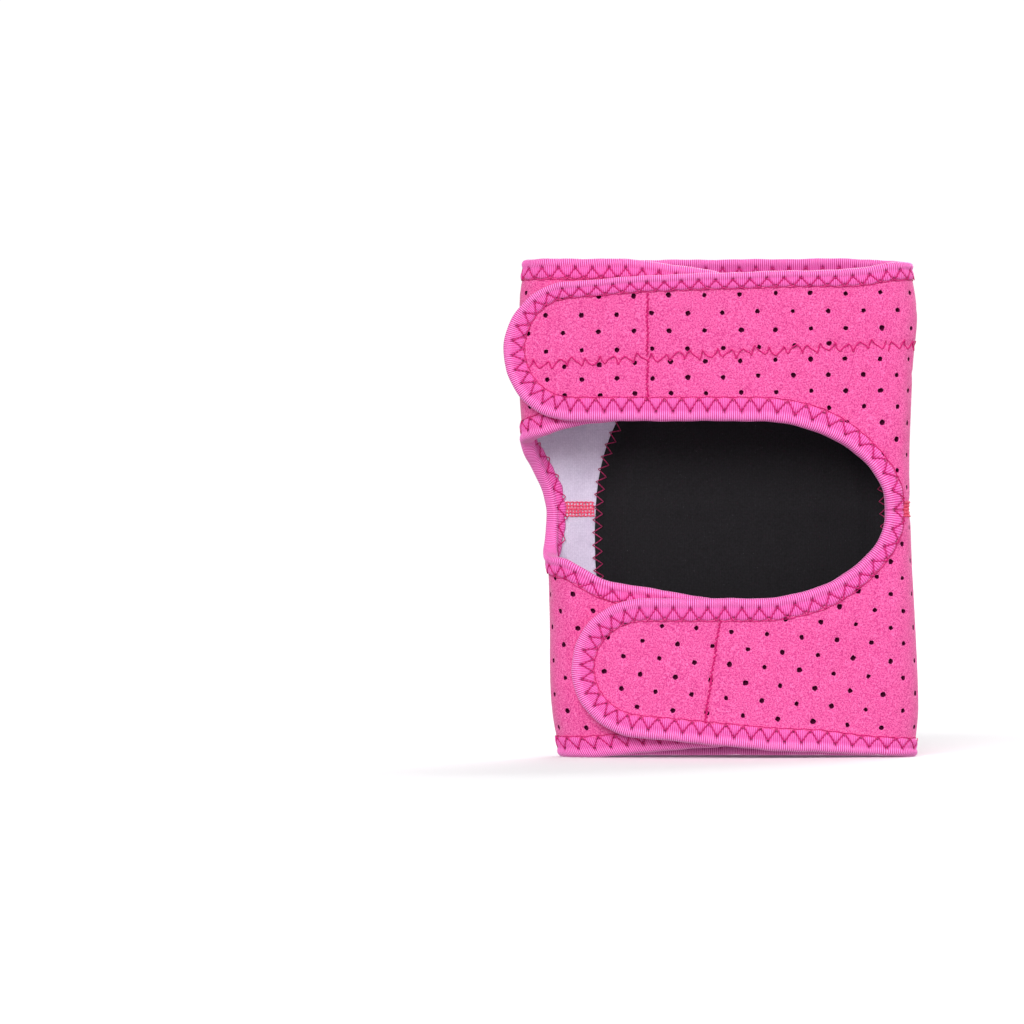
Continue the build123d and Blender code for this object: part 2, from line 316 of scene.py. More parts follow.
def arc_points(centre, half_x, half_z, start, stop, count=40):
    angle = np.radians(np.linspace(start, stop, count))
    return paired(centre[0] + half_x * np.cos(angle), centre[1] + half_z * np.sin(angle))


WING_TIP_X = 18.0


def wing_tip(low_z, high_z):
    """A wing's rounded tip, from its lower corner up to its upper one."""
    radius = 15.0
    corners = ((low_z + radius, -90), (high_z - radius, 0))
    arcs = [arc_points((WING_TIP_X - radius, z), radius, radius, a, a + 90, 12) for z, a in corners]
    return np.vstack(arcs)


def on_back(x, z):
    return paired(round_wall(x, z, "back"), z)


def left_fold(z):
    """The sleeve pattern's distance of the left fold's edge."""
    c = Section(z)
    return c.front_end + (pi / 2 - c.front_lean) * c.FOLD_R


def sleeve_outline():
    """The sleeve's five bound edges, as lists of pattern points that run into each other."""
    start_low = [round_wall(SPLIT_X, 0.0, "right back"), 0.8]
    bottom = np.array([start_low, [0.0, 0.0], [left_fold(0.0), 0.0]])
    x = np.linspace(-64, 3, 12)
    back_x = x[::-1]
    lower_wing_top = 71.5 + (3 - back_x) * 0.165 + 8 * smooth_step(-back_x, 44, 70)
    lower_wing = np.vstack(
        [
            [[left_fold(0.0), 0.0]],
            on_back(x, 4.5 * smooth_step(x, -60, 3)),
            on_back(*wing_tip(4.5, 71.0).T),
            on_back(back_x, lower_wing_top),
            [[left_fold(92.5), 92.5]],
        ]
    )
    z = np.array([97, 101, 106, 112, 118, 123, 128, 132, 136])
    cut_x = np.array([-73.6, -73.0, -72.8, -73.0, -74.0, -75.6, -77.8, -79.6, -81.8])
    notch = paired(round_wall(cut_x, z, "front"), z)
    notch = np.vstack([lower_wing[-1:], notch, [[left_fold(142.0), 141.5]]])
    x = np.linspace(-80, 3, 14)
    back_x = x[::-1]
    upper_wing_low = np.interp(x, (-80, -67, -57, -42, 3), (143.5, 147.6, 150, 151.6, 156))
    upper_wing = np.vstack(
        [
            notch[-1:],
            on_back(x, upper_wing_low),
            on_back(*wing_tip(157.0, 218.5).T),
            on_back(back_x, HEIGHT - 6.5 * smooth_step(back_x, -45, 18)),
            [[left_fold(HEIGHT), HEIGHT]],
        ]
    )
    corner = round_wall(SPLIT_X, 223.0, "right back")
    rise = round_wall(np.array([0.0, 65.0]), HEIGHT, "front")
    front = [[rise[0], HEIGHT + 0.8], [rise[1], HEIGHT + 1.2]]
    fold = [[0.0, HEIGHT - 1.2], [-8.0, HEIGHT - 1.0], [corner, 223.1]]
    top = np.array([upper_wing[-1], *front, *fold])
    return bottom, lower_wing, notch, upper_wing, top


def strap_top_z(x):
    """Height of the upper strap's top edge, which sags to the hinge and rises to the fold."""
    return np.interp(x, (-62, -27, 36, 60, 70, SPLIT_X), (214.6, 217.2, 219.3, 219.9, 221.0, 223.1))


def upper_strap_outline():
    x = np.linspace(SPLIT_X, -62, 60)
    top = paired(x, strap_top_z(x))
    high, low = strap_top_z(-62), 151.5
    tip = arc_points((-62, (high + low) / 2), 30.9, (high - low) / 2, 90, 270)
    end = arc_points((OPEN_X, OPEN_Z), OPEN_HALF_X, OPEN_HALF_Z, 90, 0)
    return np.vstack([top, tip, end])


def lower_strap_outline():
    end = arc_points((OPEN_X, OPEN_Z), OPEN_HALF_X, OPEN_HALF_Z, 0, -90)
    tip = arc_points((-30, 40.45), 32.3, 31.45, 90, 268)
    return np.vstack([end, tip, [[27, 3.4], [60, 2.0], [SPLIT_X, 0.9]]])


class Line:
    """A line on a surface: its places are (distance along it, inset to its left, depth)."""

    def __init__(self, surface, points, start=0.0):
        self.surface = surface
        self.points = softened(points)
        self.along = start + lengths_along(self.points)
        heading = np.gradient(self.points, axis=0)
        heading /= np.hypot(*heading.T)[:, None]
        self.left = paired(-heading[:, 1], heading[:, 0])

    @property
    def end(self):
        return self.along[-1]

    def flat(self, along, inset):
        """Pattern points for distances along and insets."""
        columns = [self.points[:, 0], self.points[:, 1], self.left[:, 0], self.left[:, 1]]
        x, z, left_x, left_z = (np.interp(along, self.along, column) for column in columns)
        return paired(x + left_x * inset, z + left_z * inset)

    def place(self, along, inset, depth):
        along, inset, depth = np.broadcast_arrays(along, inset, depth)
        places = self.surface(self.flat(along.ravel(), inset.ravel()), depth.ravel())
        return places.reshape(*depth.shape, 3)


# ---- meshes
def linked(name, data):
    """An object of a mesh, light or camera, in the scene."""
    made = bpy.data.objects.new(name, data)
    bpy.context.scene.collection.objects.link(made)
    return made


def new_piece(name, vertices, faces, materials, indices=None, angle=50):
    """A mesh object with smooth faces that break at sharp edges."""
    mesh = bpy.data.meshes.new(name)
    mesh.from_pydata((np.asarray(vertices) * MM).tolist(), [], faces)
    for item in materials:
        mesh.materials.append(item)
    if indices is not None:
        mesh.polygons.foreach_set("material_index", indices)
    mesh.shade_smooth()
    mesh.set_sharp_from_angle(angle=radians(angle))
    mesh.validate()
    return linked(name, mesh)


def inside(outline, points):
    """True for the points inside a closed outline."""
    result = np.zeros(len(points), bool)
    x, z = points.T
    for (ax, az), (bx, bz) in zip(outline, np.roll(outline, -1, axis=0)):
        if az != bz:
            crosses = (az > z) != (bz > z)
            result ^= crosses & (x < (bx - ax) * (z - az) / (bz - az) + ax)
    return result


def way_to(outline, points):
    """The shortest way from each point to a closed outline."""
    best = np.full(points.shape, np.inf)
    for start, stop in zip(outline, np.roll(outline, -1, axis=0)):
        run = stop - start
        t = np.clip(((points - start) @ run) / max(run @ run, 1e-9), 0, 1)
        way = start + t[:, None] * run - points
        closer = np.hypot(*way.T) < np.hypot(*best.T)
        best[closer] = way[closer]
    return best


def gap_to(outline, points):
    return np.hypot(*way_to(outline, points).T)


def doubled_areas(flat, triangles):
    """Twice each triangle's area, less than 0 where it runs clockwise."""
    corners = flat[triangles]
    a, b = corners[:, 1] - corners[:, 0], corners[:, 2] - corners[:, 0]
    return a[:, 0] * b[:, 1] - a[:, 1] * b[:, 0]


def sheet_faces(triangles, count, rings=()):
    """A sheet's upper faces, lower faces and rim: lower vertices come count after upper ones."""
    upper = [tuple(t) for t in triangles.tolist()]
    lower = [tuple(count + i for i in reversed(t)) for t in upper]
    edges = {pair for a, b, c in upper for pair in ((a, b), (b, c), (c, a))}
    in_ring = {i for ring in rings for i in ring}
    free = [(a, b) for a, b in edges if (b, a) not in edges and not {a, b} <= in_ring]
    return upper, lower, [(b, a, count + a, count + b) for a, b in free]


def ring_quads(rows, sides):
    """Faces between rings of vertices that follow each other."""
    for i in range(rows - 1):
        for k in range(sides):
            n = (k + 1) % sides
            yield i * sides + k, i * sides + n, (i + 1) * sides + n, (i + 1) * sides + k


def strip_faces(rows, sides):
    """Faces of a closed strip: its rings and both ends."""
    ends = [tuple(range(sides))[::-1], tuple((rows - 1) * sides + k for k in range(sides))]
    return [*ring_quads(rows, sides), *ends]


def staggered(outline, pitch, rise, origin=(0.0, 0.0), tilt=0.0):
    """Points of a tilted grid inside an outline, with every other row moved by half a pitch."""
    reach = np.abs(outline - origin).max(axis=0).sum()
    counts = [int(reach / step) + 1 for step in (rise, pitch)]
    rows, columns = (np.arange(-count, count + 1) for count in counts)
    row, column = (v.ravel() for v in np.meshgrid(rows, columns, indexing="ij"))
    along, up = (column + (row % 2) / 2) * pitch, row * rise
    x = origin[0] + along * cos(tilt) - up * sin(tilt)
    z = origin[1] + along * sin(tilt) + up * cos(tilt)
    points = paired(x, z)
    return points[inside(outline, points)]


HOLE_SIDES = 12
HOLE_R = 1.2
HOLE_MARGIN = 1.9  # from a hole's middle to its panel's edge
COLLAR_R = 1.62  # of a ring of vertices round each hole
CREASE_ROWS = (-2.2, -1.3, -0.65, 0, 0.65, 1.3, 2.2)


def fill_points(closed, holes, crease):
    """Grid points inside an outline, clear of its holes and closer together along the crease."""
    grid = staggered(closed, 2.6, 2.25)
    if crease is not None:
        line = spaced(crease, 0.9)
        across = np.array([line[-1][1] - line[0][1], line[0][0] - line[-1][0]])
        across /= np.hypot(*across)
        grid = grid[np.abs((grid - line[0]) @ across) > CREASE_ROWS[-1] + 0.8]
        grid = np.vstack([grid, *[line + across * inset for inset in CREASE_ROWS]])
        grid = grid[inside(closed, grid)]
    grid = grid[gap_to(closed, grid) > 1.2]
    for hole in holes:
        grid = grid[np.hypot(*(grid - hole).T) > COLLAR_R + 0.48]
    return grid


def hole_points(hole, rng):
    """The uneven edge of a punched hole and the even collar round it."""
    circle = arc_points((0, 0), 1, 1, 0, 360, HOLE_SIDES + 1)[:-1]
    rough = HOLE_R * (rng.uniform(0.88, 1.1) + rng.uniform(-0.16, 0.16, (HOLE_SIDES, 1)))
    squeeze = rng.uniform(0.88, 1.0, 2)
    return [hole + circle * rough * squeeze, hole + circle * COLLAR_R]


def punched(outline, holes, rng, crease=None):
    """Triangles of an outline with round holes: flat points, triangles and each hole's ring.

    Along the crease, a line of two points, the triangles are small enough to follow it.
    """
    closed = spaced_round(outline, 2.2)
    points, edges = [closed], [(i, (i + 1) % len(closed)) for i in range(len(closed))]
    starts = [len(closed) + 2 * HOLE_SIDES * number for number in range(len(holes))]
    for start, hole in zip(starts, holes):
        points += hole_points(hole, rng)
        edges += [(start + i, start + (i + 1) % HOLE_SIDES) for i in range(HOLE_SIDES)]
    flat = np.vstack([*points, fill_points(closed, holes, crease)])
    made = delaunay_2d_cdt([Vector(p) for p in flat], edges, [], 0, 1e-6)
    where = {source: new for new, sources in enumerate(made[3]) for source in sources}
    flat, triangles = np.array([tuple(p) for p in made[0]]), np.array(made[2])
    rings = [[where[start + i] for i in range(HOLE_SIDES)] for start in starts]
    owner = np.full(len(flat), -1)  # the hole that a point is on the edge of
    for number, ring in enumerate(rings):
        owner[ring] = number
    own, area = owner[triangles], doubled_areas(flat, triangles)
    in_hole = (own >= 0).all(axis=1) & (own == own[:, :1]).all(axis=1)
    kept = inside(closed, flat[triangles].mean(axis=1)) & ~in_hole & (np.abs(area) > 1e-7)
    triangles, area = triangles[kept], area[kept]
    triangles[area < 0] = triangles[area < 0][:, ::-1]
    return flat, triangles, rings


def off_the_edge(outline, holes):
    """Holes moved in from the outline by their margin, without those that lie outside."""
    way = way_to(outline, holes)
    gap = np.hypot(*way.T)
    holes = holes - way * (np.clip(HOLE_MARGIN - gap, 0, None) / np.clip(gap, 0.1, None))[:, None]
    holes = holes[inside(outline, holes)]
    return holes[gap_to(outline, holes) > HOLE_MARGIN - 0.1]


def hole_dips(outline, flat, holes):
    """How far the holes draw in the fabric and the lining at each flat point."""
    sag, dimple = np.zeros(len(flat)), np.zeros(len(flat))
    for hole in holes:
        gap = np.hypot(*(flat - hole).T)
        sag = np.maximum(sag, 0.45 * groove(np.clip(gap - HOLE_R, 0, None), 0.8))
        dimple = np.maximum(dimple, 0.35 * groove(gap, 1.5))
    return sag * np.clip(gap_to(outline, flat), 0, 1), dimple


def laminate(name, surface, outline, holes, rng, nodes, crease=None):
    """A panel of perforated fabric on foam with its lining, as one closed sheet.

    nodes are the CAD nodes that it stands for.
    """
    holes = off_the_edge(outline, holes + rng.uniform(-0.3, 0.3, holes.shape))
    flat, triangles, rings = punched(outline, holes, rng, crease)
    count = len(flat)
    sag, dimple = hole_dips(outline, flat, holes)
    vertices = [surface(flat, sag), surface(flat, WALL_T - dimple)]
    upper, lower, rim = sheet_faces(triangles, count, rings)
    lower += [tuple(count + i for i in reversed(ring)) for ring in rings]
    walls = []
    for number, ring in enumerate(rings):
        base = 2 * count + number * HOLE_SIDES
        bottom = list(range(base, base + HOLE_SIDES))
        vertices.append(surface(flat[ring], np.full(HOLE_SIDES, HOLE_DEPTH)))
        walls += [*zip(ring, ring[1:] + ring[:1], bottom[1:] + bottom[:1], bottom), tuple(bottom)]
    walls += rim
    indices = [0] * len(upper) + [2] * len(lower) + [1] * len(walls)
    faces = upper + lower + walls
    piece = new_piece(name, np.vstack(vertices), faces, [LOOP_FABRIC, FOAM, LINING], indices)
    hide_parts(*nodes)
    return piece


def tube(centres, across, up, radius, sides=5):
    """Vertices and faces of a closed tube, round in the plane of two unit vectors per point."""
    angle = (np.arange(sides) * 2 * pi / sides)[None, :, None]
    ring = np.cos(angle) * across[:, None, :] + np.sin(angle) * up[:, None, :]
    vertices = (centres[:, None, :] + radius * ring).reshape(-1, 3)
    return vertices, strip_faces(len(centres), sides)


def merged(parts):
    """Vertices and faces of one mesh from several."""
    vertices, faces, base = [], [], 0
    for own_vertices, own_faces in parts:
        vertices.append(own_vertices)
        faces += [tuple(i + base for i in face) for face in own_faces]
        base += len(own_vertices)
    return np.vstack(vertices), faces


def unit(vectors):
    return vectors / np.linalg.norm(vectors, axis=-1, keepdims=True)


def thread_run(surface, flat, depth, radius):
    """Vertices and faces of a thread along pattern points at a depth."""
    depth = np.broadcast_to(depth, len(flat))
    centres = surface(flat, depth)
    up = unit(surface(flat, depth - 0.5) - centres)
    across = unit(np.cross(np.gradient(centres, axis=0), up))
    up = unit(np.cross(across, np.gradient(centres, axis=0)))
    return tube(centres, across, up, radius)


def sewn(name, item, runs):
    """A piece of thread runs, each of them (surface, pattern points, depth, radius)."""
    piece = new_piece(name, *merged([thread_run(*run) for run in runs]), [item], angle=80)
    return piece


def triangle_wave(t):
    """0 at whole numbers and 1 half way between."""
    return 1 - np.abs(1 - 2 * (t % 1))


def zigzag(line, start, stop, pitch, low, high, per_leg=6):
    """Pattern points of a zigzag along a line, between two insets."""
    along = np.arange(start, stop, pitch / 2 / per_leg)
    return line.flat(along, low + (high - low) * triangle_wave(along / pitch))


# ---- binding tape
STITCH_OUT, STITCH_IN = 3.5, 8.0  # the zigzag's turns, inset from the fold
TAPE_PROFILE = np.array(  # (inset, depth) round the tape, from the outside to the inside
    [
        (8.2, 0.5), (8.1, -0.35), (7.6, -0.62), (7.0, -0.72), (6.4, -0.78), (5.8, -0.8), (5.2, -0.8),
        (4.6, -0.78), (4.0, -0.75), (3.5, -0.82), (3.0, -1.1), (2.4, -1.4), (1.7, -1.5), (1.0, -1.3),
        (0.45, -0.8), (0.12, 0.0), (0.0, 1.0), (0.0, 2.4), (0.12, 3.6), (0.45, 4.4), (1.2, 4.9),
        (2.4, 4.9), (3.5, 4.4), (4.6, 4.35), (5.8, 4.4), (7.0, 4.3), (8.0, 3.9), (8.1, 3.0),
    ]
)  # fmt: skip
RIB_PITCH = 0.95


def tape_width(line, along):
    """Width of the tape against its profile: wider beside the opening and along the bottom."""
    x, z = line.flat(along, 0.0).T
    if line.surface is sleeve:
        return 1 + 0.13 * smooth_step(x, 0, 20)
    wide = np.where(z > KNEE_Z, np.interp(z, (152, 200, 216), (1.3, 1.1, 0.9)), 1.24)
    return 1 + (wide - 1) * (1 - smooth_step(x, 45, 75))


def needle_holes(along, inset):
    """1 where the zigzag's needle went in, at its outer and inner turns."""
    phase = along / STITCH_PITCH % 1
    from_outer = np.minimum(phase, 1 - phase) * STITCH_PITCH
    from_inner = np.abs(phase - 0.5) * STITCH_PITCH
    outer = groove(np.hypot(from_outer, inset - STITCH_OUT), 0.7)
    inner = groove(np.hypot(from_inner, inset - STITCH_IN), 0.8)
    return np.maximum(outer, 0.8 * inner)


def tape(name, line, start, stop, nodes):
    """Ribbed tape folded round an edge, drawn in by its zigzag stitches."""
    steps = int(round((stop - start) / (RIB_PITCH / 4)))
    along = np.linspace(start, stop, steps + 1)[:, None]
    inset, depth = (TAPE_PROFILE[None, :, i] for i in (0, 1))
    side = np.sign(depth - WALL_T / 2)
    wave = triangle_wave(along / STITCH_PITCH)
    stitch_inset = STITCH_OUT + (STITCH_IN - STITCH_OUT) * wave
    flat_part = smooth_step(inset, 2.2, 4.2)
    pull = groove((inset - stitch_inset) * 0.65, 0.55) * flat_part
    hole = needle_holes(along, inset)
    puff = 0.3 * np.sin(pi * np.clip((inset - 3.4) / 4.6, 0, 1)) * (1 - pull)
    rib = np.cos(2 * pi * along / RIB_PITCH + 0.25 * np.sin(along * 1.7))
    depth = depth + side * (puff + 0.14 * rib - 0.3 * pull - 0.35 * hole)
    waver = 0.12 * np.sin(along / 5.3) + 0.08 * np.sin(along / 2.1)
    width = tape_width(line, along.ravel())[:, None]
    inset = (inset - 0.7 * wave * smooth_step(inset, 6.5, 8.0)) * width + waver
    grid = line.place(along, inset, depth)
    faces = [face[:1] + face[:0:-1] for face in strip_faces(*grid.shape[:2])]
    piece = new_piece(name, grid.reshape(-1, 3), faces, [TAPE], angle=75)
    # painted light and shade: lighter on the rib tops, painted shade in the grooves between ribs, in
    # the needle holes and where the stitches pull; the stitched flat half a little darker
    painted_shading = 0.38 - 0.55 * rib * (1 - 0.45 * flat_part) + 0.1 * flat_part + 0.15 * pull + 0.7 * hole
    tone = piece.data.attributes.new("painted_shading", "FLOAT", "POINT")
    tone.data.foreach_set("value", np.clip(painted_shading, 0, 1).ravel().astype(np.float32))
    if nodes:
        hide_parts(*nodes)
    return piece


def tape_stitches(line, start, stop):
    """Thread runs: the tape's zigzag on both faces and the straight thread along its inner edge."""
    along = np.arange(start, stop, STITCH_PITCH / 12)
    width = tape_width(line, along)
    inset = STITCH_OUT + (STITCH_IN + 0.3 - STITCH_OUT) * triangle_wave(along / STITCH_PITCH)
    over = line.flat(along, inset * width)
    edge = line.flat(along, 8.35 * width + 0.15 * np.sin(along * 0.9))
    zigzags = [(line.surface, over, depth, 0.24) for depth in (-0.85, WALL_T + 0.85)]
    return [*zigzags, (line.surface, edge, -0.12, 0.2)]


# ---- materials
def linear(red, green, blue):
    """Display colour, 0 to 255, as the shader's linear light."""
    parts = [c / 255 for c in (red, green, blue)]
    return (*[c / 12.92 if c <= 0.04045 else ((c + 0.055) / 1.055) ** 2.4 for c in parts], 1.0)


class Finish:
    """A procedural material whose textures are measured in millimetres of the row frame."""

    def __init__(self, name, roughness, sheen=0.0, specular=0.5):
        self.material = bpy.data.materials.new(name)
        self.material.use_nodes = True
        self.nodes = self.material.node_tree.nodes
        self.shader = self.nodes["Principled BSDF"]
        self.normal = None
        self.feed(self.shader, {"Roughness": roughness, "Specular IOR Level": specular})
        self.feed(self.shader, {"Sheen Weight": sheen, "Sheen Roughness": 0.5})
        place = self.node("TexCoord", "Object", {})
        self.place = self.node("VectorMath", "Vector", {0: place, "Scale": 1 / MM}, operation="SCALE")

    def feed(self, node, inputs):
        """Sets or links a node's inputs, without those that are None."""
        for socket, value in inputs.items():
            if isinstance(value, bpy.types.NodeSocket):
                self.material.node_tree.links.new(value, node.inputs[socket])
            elif value is not None:
                node.inputs[socket].default_value = value

    def node(self, kind, output, inputs, **settings):
        """An output of a new node."""
        node = self.nodes.new(f"ShaderNode{kind}")
        for setting, value in settings.items():
            setattr(node, setting, value)
        self.feed(node, inputs)
        return node.outputs[output]

    def noise(self, grain, detail=2.0, contrast=0.5):
        """Noise with features about this many millimetres across."""
        inputs = {"Vector": self.place, "Scale": 1 / grain, "Detail": detail, "Roughness": contrast}
        return self.node("TexNoise", "Fac", inputs)

    def stripes(self, pitch, axis, distortion):
        """Waves along an axis of the row frame."""
        inputs = {"Vector": self.place, "Scale": pi / 10 / pitch, "Distortion": distortion}
        return self.node("TexWave", "Fac", inputs, wave_type="BANDS", bands_direction=axis)

    def math(self, operation, *values):
        return self.node("Math", "Value", dict(enumerate(values)), operation=operation)

    def shades(self, fac, *stops):
        """Colours by value: stops are (value, (red, green, blue))."""
        node = self.nodes.new("ShaderNodeValToRGB")
        ramp = node.color_ramp
        while len(ramp.elements) < len(stops):
            ramp.elements.new(0.5)
        for element, (value, colour) in zip(ramp.elements, stops):
            element.position = value
            element.color = linear(*colour)
        self.feed(node, {"Fac": fac})
        return node.outputs["Color"]

    def mixed(self, fac, first, second):
        return self.node("Mix", 2, {0: fac, 6: first, 7: second}, data_type="RGBA")

    def bump(self, height, strength, rise):
        """Raises the surface by rise millimetres where height is 1."""
        sockets = {"Strength": strength, "Distance": rise * MM, "Height": height}
        self.normal = self.node("Bump", "Normal", {**sockets, "Normal": self.normal})

    def done(self, colour):
        self.feed(self.shader, {"Base Color": colour, "Normal": self.normal})
        return self.material


def loop_fabric():
    """Brushed nylon loops: a fine uneven nap with lighter fibre ends."""
    f = Finish("loop_fabric", 0.95, sheen=0.25, specular=0.15)
    nap = f.noise(0.62, 2.0, 0.6)
    tone = f.noise(22.0, 2.0)
    fibre = f.noise(0.3, 2.0)
    dark = f.shades(nap, (0.32, (200, 50, 126)), (0.48, (230, 77, 150)), (0.67, (250, 114, 182)))
    light = f.shades(nap, (0.32, (208, 57, 135)), (0.48, (239, 89, 162)), (0.67, (255, 130, 194)))
    f.bump(nap, 0.7, 0.25)
    f.bump(fibre, 0.4, 0.12)
    return f.done(f.mixed(tone, dark, light))


def binding_tape():
    """Stretch tape: painted light on its ribs, painted shade between them, in the needle holes and
    where the stitches pull.
    """
    f = Finish("binding_tape", 0.6, sheen=0.2, specular=0.35)
    weave = f.noise(0.3, 2.0)
    # the tape's painted light and shade, read from its vertices, made a little uneven by the weave
    # noise
    painted_shading = f.node("Attribute", "Fac", {}, attribute_name="painted_shading")
    uneven = f.math("ADD", painted_shading, f.math("MULTIPLY_ADD", weave, 0.3, -0.15))
    f.bump(weave, 0.4, 0.1)
    # stops run from painted highlight on the rib tops to painted shade in the grooves and needle
    # holes
    light = (0.0, (255, 158, 228)), (0.35, (250, 100, 192))
    dark = (0.75, (212, 48, 138)), (1.0, (126, 12, 74))
    return f.done(f.shades(uneven, *light, *dark))


def mottled(name, roughness, specular, grain, relief, *stops):
    """Mixed tones over an uneven surface: grain is (size, detail) and relief (strength, rise)."""
    f = Finish(name, roughness, specular=specular)
    fleck = f.noise(*grain)
    f.bump(fleck, *relief)
    return f.done(f.shades(fleck, *stops))


def thread(name, dark, light):
    return mottled(name, 0.6, 0.2, (0.35, 1.0), (0.6, 0.1), (0.35, dark), (0.65, light))


def jersey(name, dark, light, lint, wale, patchy):
    """Fine knit: columns of stitches with a slight unevenness and a few lint specks."""
    f = Finish(name, 0.85, sheen=0.1, specular=0.2)
    columns = f.stripes(wale, "X", 2.5)
    courses = f.stripes(wale * 0.8, "Z", 2.5)
    knit = f.math("MULTIPLY", columns, courses)
    speck = f.noise(0.9, 3.0, 0.7)
    cloud = f.noise(9.0, 3.0)
    f.bump(f.math("ADD", knit, speck), 0.5, 0.15)
    clouds = f.math("MULTIPLY_ADD", cloud, patchy, 0.2 - patchy / 2)
    grain = f.math("MULTIPLY_ADD", knit, 0.12, f.math("MULTIPLY_ADD", speck, 0.5, clouds))
    return f.done(f.shades(grain, (0.3, dark), (0.64, light), (0.7, lint)))


LOOP_FABRIC = loop_fabric()
TAPE = binding_tape()
RUBBER = (0.3, (84, 6, 50)), (0.7, (112, 22, 72))
FOAM = mottled("sponge_rubber", 0.95, 0.1, (0.4, 2.0), (0.8, 0.2), *RUBBER)
LINING = jersey("jersey_lining", (194, 182, 206), (226, 216, 236), (240, 232, 246), 0.9, 0.3)
COVER = jersey("pad_cover_knit", (8, 7, 9), (33, 31, 35), (112, 108, 114), 0.8, 0.06)
PINK_THREAD = thread("pink_thread", (176, 6, 90), (236, 44, 140))
DARK_THREAD = thread("dark_pink_thread", (126, 10, 58), (190, 60, 112))
CORAL_THREAD = thread("coral_thread", (222, 44, 90), (255, 112, 146))
PLASTIC = (0.3, (214, 60, 134)), (0.7, (238, 92, 160))
HOOKS = mottled("hook_plastic", 0.4, 0.5, (1.5, 2.0), (0.2, 0.1), *PLASTIC)

# ---- panels
rng = np.random.default_rng(7)
bound_edges = sleeve_outline()
sleeve_edge = Line(sleeve, np.vstack([bound_edges[0], *[edge[1:] for edge in bound_edges[1:]]]))
PANEL_INSET = 1.0  # from a tape's fold to the panel's cut edge inside it
column_z = np.linspace(HEIGHT - PANEL_INSET, PANEL_INSET, 60)
column_x = SPLIT_X + PANEL_INSET * groove(column_z - OPEN_Z, 12)  # inside the opening's tape
column = paired(round_wall(column_x, column_z, "right back"), column_z)
SLEEVE_OUTLINE = np.vstack([sleeve_edge.flat(sleeve_edge.along, PANEL_INSET), column[2:-1]])
COLUMN_S = float(round_wall(SPLIT_X, KNEE_Z, "right back"))


def layers(stem):
    """A panel's CAD nodes."""
    return [f"{stem}_{layer}" for layer in ("fabric", "foam", "lining")]


# Perforations: pitch, rise, a hole by the fold as (x, z), and the rows' tilt on the straps.
LATTICES = {
    "band": (15.95, 8.05, (77.7, 193.5), radians(0.9)),
    "upper": (15.85, 7.2, (77.3, 179.8), radians(0.9)),
    "lower": (15.85, 7.5, (80.4, 43.6), radians(-4.8)),
}


def on_sleeve(cut):
    """A cut panel's perforations on the sleeve's pattern, where its rows run level."""
    pitch, rise, (x, z), _ = LATTICES[cut]
    return pitch, rise, (x - SPLIT_X + COLUMN_S, z)


STRAP_SIDE = np.array([(0, -20), (SPLIT_X, -20), (SPLIT_X, HEIGHT + 20), (0, HEIGHT + 20)])
CROWDING = 6.0  # a sleeve hole this near to a strap's hole is left out
SLEEVE_PANELS = (  # name, lower and upper cut, perforations
    ("top_band", BAND_Z, 2 * HEIGHT, "band"),
    ("upper_panel", KNEE_Z, BAND_Z, "upper"),
    ("lower_panel", -HEIGHT, KNEE_Z, "lower"),
)
for stem, low, high, cut in SLEEVE_PANELS:
    part = clipped(clipped(SLEEVE_OUTLINE, (0, low), (0, -1)), (0, high), (0, 1))
    holes = staggered(part, *on_sleeve(cut))
    on_straps = staggered(STRAP_SIDE, *LATTICES[cut]) + (COLUMN_S - SPLIT_X, 0)
    crowd = np.min(np.hypot(*(holes[:, None] - on_straps[None]).T), axis=0)
    panel = laminate(f"sleeve_{stem}", sleeve, part, holes[crowd > CROWDING], rng, layers(stem))
    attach(panel, "sleeve")


def join(piece, end):
    """Bakes the placing of a strap's or a tab's piece into its mesh; both ends are treated alike."""
    if end == "strap":
        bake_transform(piece)
    else:
        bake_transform(piece)


TAB_SPLIT_X = {"upper": -13.9, "lower": 20.2}  # between two columns of holes


def patch_seam(level, high, low):
    """The seam over a hook patch's edge, from its top to its bottom."""
    (x, z), lean = PATCHES[level]
    return [(x + (end - z) * tan(lean), end) for end in (high, low)]


PATCH_SEAM = {"upper": patch_seam("upper", 209.0, 159.5), "lower": patch_seam("lower", 64.0, 14.0)}
STRAP_EDGE = {
    "upper": Line(strap, upper_strap_outline(), start=sleeve_edge.end % STITCH_PITCH),
    "lower": Line(strap, lower_strap_outline()),
}
SEAM_LINE = ((SPLIT_X, upper_seam_z(SPLIT_X)), (-sin(SEAM_LEAN), cos(SEAM_LEAN)))
STRAP_ZONES = {"upper": (("_band", -1, "band"), ("", 1, "upper")), "lower": (("", 0, "lower"),)}
for level, zones in STRAP_ZONES.items():
    edge = STRAP_EDGE[level]
    outline = edge.flat(edge.along, PANEL_INSET)
    for end, away in (("strap", (-1, 0)), ("tab", (1, 0))):
        half = clipped(outline, (TAB_SPLIT_X[level], 0), away)
        for zone, side, cut in zones:
            point, normal = SEAM_LINE
            part = clipped(half, point, np.multiply(normal, side)) if side else half
            stem = f"{level}_{end}{zone}"
            holes = staggered(part, *LATTICES[cut])
            crease = PATCH_SEAM[level] if end == "tab" else None
            panel = laminate(f"{stem}_sheet", strap, part, holes, rng, layers(stem), crease)
            join(panel, end)

